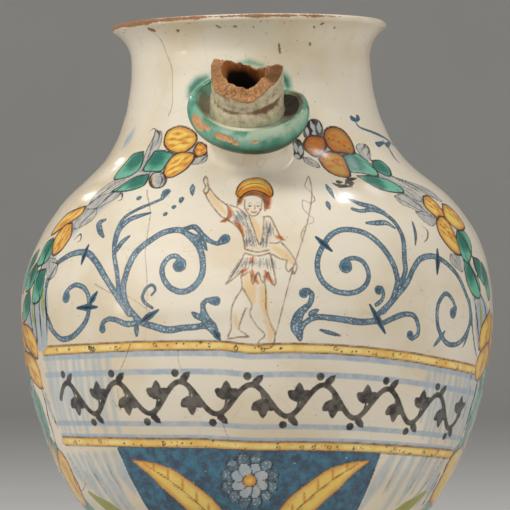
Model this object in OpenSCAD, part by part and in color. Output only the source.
// Spouted syrup jar in tin-glazed earthenware, thrown in sections and luted.
// Origin: centre of the underside of the foot. +Z is up, the spout faces -Y.
// All sizes are in millimetres and degrees.

/* [Body] */
// Diameter at the widest point
belly_d = 196; // [176:1:216]
// Height of the widest point above the table
belly_z = 124; // [114:1:134]
// Diameter where the bowl meets the foot
base_d = 94; // [84:1:102]
// Radius of the curve from the widest point up to the neck
shoulder_arc_r = 67; // [60:1:74]
// Thickness of the thrown wall
wall = 5; // [4:0.5:6.5]
// Thickness of the floor inside the jar
floor_t = 7; // [5:0.5:10]

/* [Neck] */
// Outside diameter at the narrowest point of the neck
waist_d = 99; // [90:1:108]
// Height of the narrowest point above the table
waist_z = 228; // [220:1:238]
// Radius of the curve that turns the lip outwards
lip_arc_r = 14; // [11:0.5:18]
// How far the lip turns from upright
lip_turn = 58; // [40:1:70]

/* [Foot] */
// Diameter of the foot
foot_d = 114; // [110:1:126]
// Height of the foot
foot_h = 16; // [13:0.5:20]
// Height of the rounded edge of the foot
foot_edge_h = 5; // [3:0.5:7]
// Diameter of the hollow turned into the underside
hollow_d = 78; // [60:1:90]
// Height of that hollow in the middle
hollow_h = 8; // [4:0.5:10]

/* [Spout] */
// Slope of the spout above the horizontal
spout_tilt = 46; // [40:1:52]
// Height above the root of the neck where the axis of the spout comes out of its wall
spout_up = 16.5; // [14:0.5:20]
// Diameter of the pouring bore
bore_d = 17; // [14:0.5:19]
// Diameter of the stub of tube above the collar
stub_d = 29; // [26:0.5:31]
// Diameter of the stem under the collar
stem_d = 33; // [31.5:0.5:36]
// Radius of the flare that spreads the stem on to the neck
stem_flare_r = 26; // [20:1:32]
// Distance along the axis from the root to the middle of the collar
collar_up = 15; // [13:0.5:18]
// Outside diameter of the collar
collar_d = 49; // [46:0.5:53]
// Diameter of the rolled bead round the collar
bead_d = 11; // [8:0.5:12]
// Thickness of the web between the bead and the stub
web_t = 6; // [4:0.5:7]
// Diameter of the groove that runs round the stub, in the top of the collar
groove_d = 7; // [5:0.5:7.5]
// Height of the middle of the groove above the middle of the collar
groove_up = 3; // [2:0.25:4]

/* [Break] */
// Length of the stub above the middle of the collar, at its longest splinter
stub_len = 31; // [27:0.5:35]
// Height of the break above the middle of the collar, at the front of the stub
front_break_h = 19; // [16:0.5:22]
// Rise of the break from the front towards the bore
front_break_rise = 24; // [16:1:32]
// Height of the break at the back of the stub
back_break_h = 17; // [14:0.5:20]
// Rise of the break from the back towards the bore
back_break_rise = 32; // [24:1:38]
// Lean of the whole break, which leaves one side longer than the other
break_lean = 5; // [0:1:10]

/* [Handle] */
// Width of the strap
strap_w = 33; // [28:1:38]
// Thickness of the strap
strap_t = 9; // [7:0.5:11]
// Distance from the narrowest point of the neck down to the middle of the strap
strap_drop = 12; // [9:0.5:15]
// Clear distance between the narrowest point of the neck and the strap
strap_gap = 38; // [32:1:44]
// Radius of the upper bend, at the middle of the strap
strap_bend_r = 24; // [18:1:28]
// Radius of the long lower sweep, at the middle of the strap
strap_sweep_r = 90; // [80:1:110]

/* [Hidden] */
$fn = 96;

belly_r = belly_d / 2;
base_r = base_d / 2;
waist_r = waist_d / 2;
foot_r = foot_d / 2;
bore_r = bore_d / 2;
stub_r = stub_d / 2;
stem_r = stem_d / 2;
collar_r = collar_d / 2;
bead_r = bead_d / 2;

// The outline is a chain of arcs, each tangent to the next. The first runs from the foot to the belly.
bowl_h = belly_z - foot_h;
bowl_spread = belly_r - base_r;
bowl_arc_r = (bowl_spread * bowl_spread + bowl_h * bowl_h) / (2 * bowl_spread);
bowl_centre = [belly_r - bowl_arc_r, belly_z];
base_angle = asin(bowl_h / bowl_arc_r);

// The second closes in over the shoulder, and the third turns back up to the narrowest point.
shoulder_centre = [belly_r - shoulder_arc_r, belly_z];
neck_inset = waist_r - shoulder_centre.x;
neck_rise = waist_z - belly_z;
neck_arc_r = (neck_inset * neck_inset + neck_rise * neck_rise - shoulder_arc_r * shoulder_arc_r)
    / (2 * (shoulder_arc_r - neck_inset));
neck_centre = [waist_r + neck_arc_r, waist_z];
root_angle = atan2(neck_rise, neck_centre.x - shoulder_centre.x);
root_z = shoulder_centre.y + shoulder_arc_r * sin(root_angle);

// The last turns the lip out. The wall at the narrowest point lies this way from both centres there.
lip_centre = [waist_r + lip_arc_r, waist_z];
inwards = 180;

// Place of the spout, and how far its shapes run on inside the jar before they are trimmed
spout_root_z = root_z + spout_up;
spout_root_r = neck_outside_r(spout_root_z);
trim_depth = collar_d;
bore_depth = collar_up + 2 * (wall + bore_r);
chip_size = 2 * collar_d;

// Middle line of the strap, in a plane through the axis of the jar
strap_top_z = waist_z - strap_drop;
strap_out_r = waist_r + strap_gap + strap_t / 2;
strap_sweep_turn = 60; // enough to bury the lower end in the shoulder before it is trimmed

// Outside radius of the neck at a height between its root and its narrowest point
function neck_outside_r(z) = neck_centre.x - sqrt(neck_arc_r * neck_arc_r - (z - waist_z) * (z - waist_z));

// A point at a distance and an angle from a centre
function polar(centre, r, angle) = centre + r * [cos(angle), sin(angle)];

// A fan with its tip at centre that covers a sector of a circle of radius r
module fan(centre, r, from, to) {
    blade = 30;
    reach = r / cos(blade);
    blades = ceil((to - from) / blade);
    polygon(concat([centre], [for (i = [0:blades]) polar(centre, reach, from + (to - from) * i / blades)]));
}

// A curved strip of wall between two radii and two angles
module arc_strip(centre, r_in, r_out, from, to) {
    intersection() {
        difference() {
            translate(centre) circle(r_out);
            translate(centre) circle(r_in);
        }
        fan(centre, r_out, from, to);
    }
}

// Half the section of a slice of the bowl, filled out to the outside of its wall
module bowl_slice(low, high) {
    intersection() {
        translate(bowl_centre) circle(bowl_arc_r);
        translate([0, low]) square([belly_r, high - low]);
    }
}

// The jar's outside from the foot to the narrowest point as one filled shape, which trims what is luted on.
// The core and the top of the shoulder run on under the neck, so that no slit is left between them.
module envelope() {
    core_r = min(shoulder_centre.x, waist_r);
    rotate_extrude() {
        bowl_slice(foot_h, belly_z);
        translate([0, foot_h]) square([core_r, waist_z - foot_h]);
        intersection() {
            translate(shoulder_centre) circle(shoulder_arc_r);
            translate([0, belly_z]) square([belly_r, root_z + wall - belly_z]);
        }
        difference() {
            translate([0, root_z]) square([neck_outside_r(root_z), waist_z - root_z]);
            translate(neck_centre) circle(neck_arc_r);
        }
    }
}

// Moves a shape from the axis of the spout, with its zero at the collar, to its place on the jar
module on_spout() {
    translate([0, -spout_root_r, spout_root_z])
        rotate([90 - spout_tilt, 0, 0])
            translate([0, 0, collar_up])
                children();
}

module pouring_bore() {
    on_spout() translate([0, 0, -bore_depth]) cylinder(r = bore_r, h = bore_depth + 2 * stub_len);
}

// Disc that the jar stands on, with a round edge, a hollow curve above it and a turned hollow below
module foot() {
    edge_r = foot_edge_h / 2;
    spread = foot_r - edge_r - base_r;
    curve_h = foot_h - foot_edge_h;
    curve_r = (spread * spread + curve_h * curve_h) / (2 * spread);
    hollow_r = hollow_d / 2;
    dome_r = (hollow_r * hollow_r + hollow_h * hollow_h) / (2 * hollow_h);
    color("wheat") rotate_extrude() difference() {
        union() {
            translate([foot_r - edge_r, edge_r]) circle(edge_r);
            square([foot_r - edge_r, foot_edge_h]);
            difference() {
                square([foot_r - edge_r, foot_h]);
                translate([base_r + curve_r, foot_h]) circle(curve_r);
            }
        }
        intersection() {
            translate([0, hollow_h - dome_r]) circle(dome_r);
            square([hollow_r, hollow_h]);
        }
    }
}

// Thrown bowl with the floor of the jar
module lower_body() {
    below = 10; // the strip runs past the foot by this angle and is cut off level
    color("antiquewhite") rotate_extrude() {
        intersection() {
            arc_strip(bowl_centre, bowl_arc_r - wall, bowl_arc_r, -base_angle - below, 0);
            translate([0, foot_h]) square([belly_r, bowl_h]);
        }
        bowl_slice(foot_h, foot_h + floor_t);
    }
}

// Thrown ring that closes in from the widest point to the neck
module shoulder() {
    color("antiquewhite") rotate_extrude()
        arc_strip(shoulder_centre, shoulder_arc_r - wall, shoulder_arc_r, 0, root_angle);
}

// Thrown neck with its everted lip, pierced for the spout
module neck() {
    lip_end = polar(lip_centre, lip_arc_r + wall / 2, inwards - lip_turn);
    color("antiquewhite") difference() {
        rotate_extrude() {
            arc_strip(neck_centre, neck_arc_r, neck_arc_r + wall, inwards, inwards + root_angle);
            arc_strip(lip_centre, lip_arc_r, lip_arc_r + wall, inwards - lip_turn, inwards);
            translate(lip_end) circle(wall / 2);
        }
        pouring_bore();
    }
}

// Half the section of the stub and the stem, run on into the jar. The stem widens under the collar.
module stem_section() {
    flare_top = -web_t / 2;
    translate([0, flare_top]) square([stub_r, stub_len - flare_top]);
    difference() {
        translate([0, flare_top - trim_depth]) square([stem_r + stem_flare_r, trim_depth]);
        translate([stem_r + stem_flare_r, flare_top]) circle(stem_flare_r);
        translate([stem_r, flare_top - stem_flare_r - trim_depth]) square([stem_flare_r, trim_depth]);
    }
}

// Thrown tube, flared on to the jar at its root and broken off above the collar
module spout_stem() {
    color("burlywood") difference() {
        on_spout() rotate_extrude() stem_section();
        pouring_bore();
        envelope();
        on_spout() {
            break_cut(-stub_r, front_break_h, front_break_rise);
            break_cut(stub_r, back_break_h, -back_break_rise);
        }
    }
}

// Takes away what lies above a slope that starts at one edge of the stub
module break_cut(edge_y, edge_h, rise) {
    translate([0, edge_y, edge_h])
        rotate([rise, break_lean, 0])
            translate([-chip_size / 2, -chip_size / 2, 0])
                cube(chip_size);
}

// Applied ring, a shallow dish with a rolled bead, round the stub and up against the neck
module spout_collar() {
    bead_centre_r = collar_r - bead_r;
    groove_r = groove_d / 2;
    color("mediumaquamarine") difference() {
        on_spout() rotate_extrude() difference() {
            union() {
                translate([0, -web_t / 2]) square([bead_centre_r, web_t]);
                translate([bead_centre_r, 0]) circle(bead_r);
            }
            stem_section();
            translate([stub_r + groove_r, groove_up]) circle(groove_r);
            translate([stub_r, groove_up]) square([groove_d, collar_r]);
        }
        envelope();
    }
}

// Outline of the strap across its length, thickness along x and width along y
module strap_section() {
    flat_w = strap_w - strap_t;
    square([strap_t, flat_w], center = true);
    for (side = [-1, 1]) translate([0, side * flat_w / 2]) circle(strap_t / 2);
}

// Pulled strap from the neck to the shoulder, opposite the spout
module strap_handle() {
    bend_centre = [strap_out_r - strap_bend_r, strap_top_z - strap_bend_r];
    sweep_centre = [strap_out_r - strap_sweep_r, bend_centre.y];
    color("antiquewhite") difference() {
        rotate([90, 0, 90]) {
            translate([0, strap_top_z]) rotate([0, 90, 0])
                linear_extrude(bend_centre.x) rotate(90) strap_section();
            translate(bend_centre) rotate_extrude(angle = 90)
                translate([strap_bend_r, 0]) strap_section();
            translate(sweep_centre) mirror([0, 1]) rotate_extrude(angle = strap_sweep_turn)
                translate([strap_sweep_r, 0]) strap_section();
        }
        envelope();
    }
}

foot();
lower_body();
shoulder();
neck();
spout_stem();
spout_collar();
strap_handle();
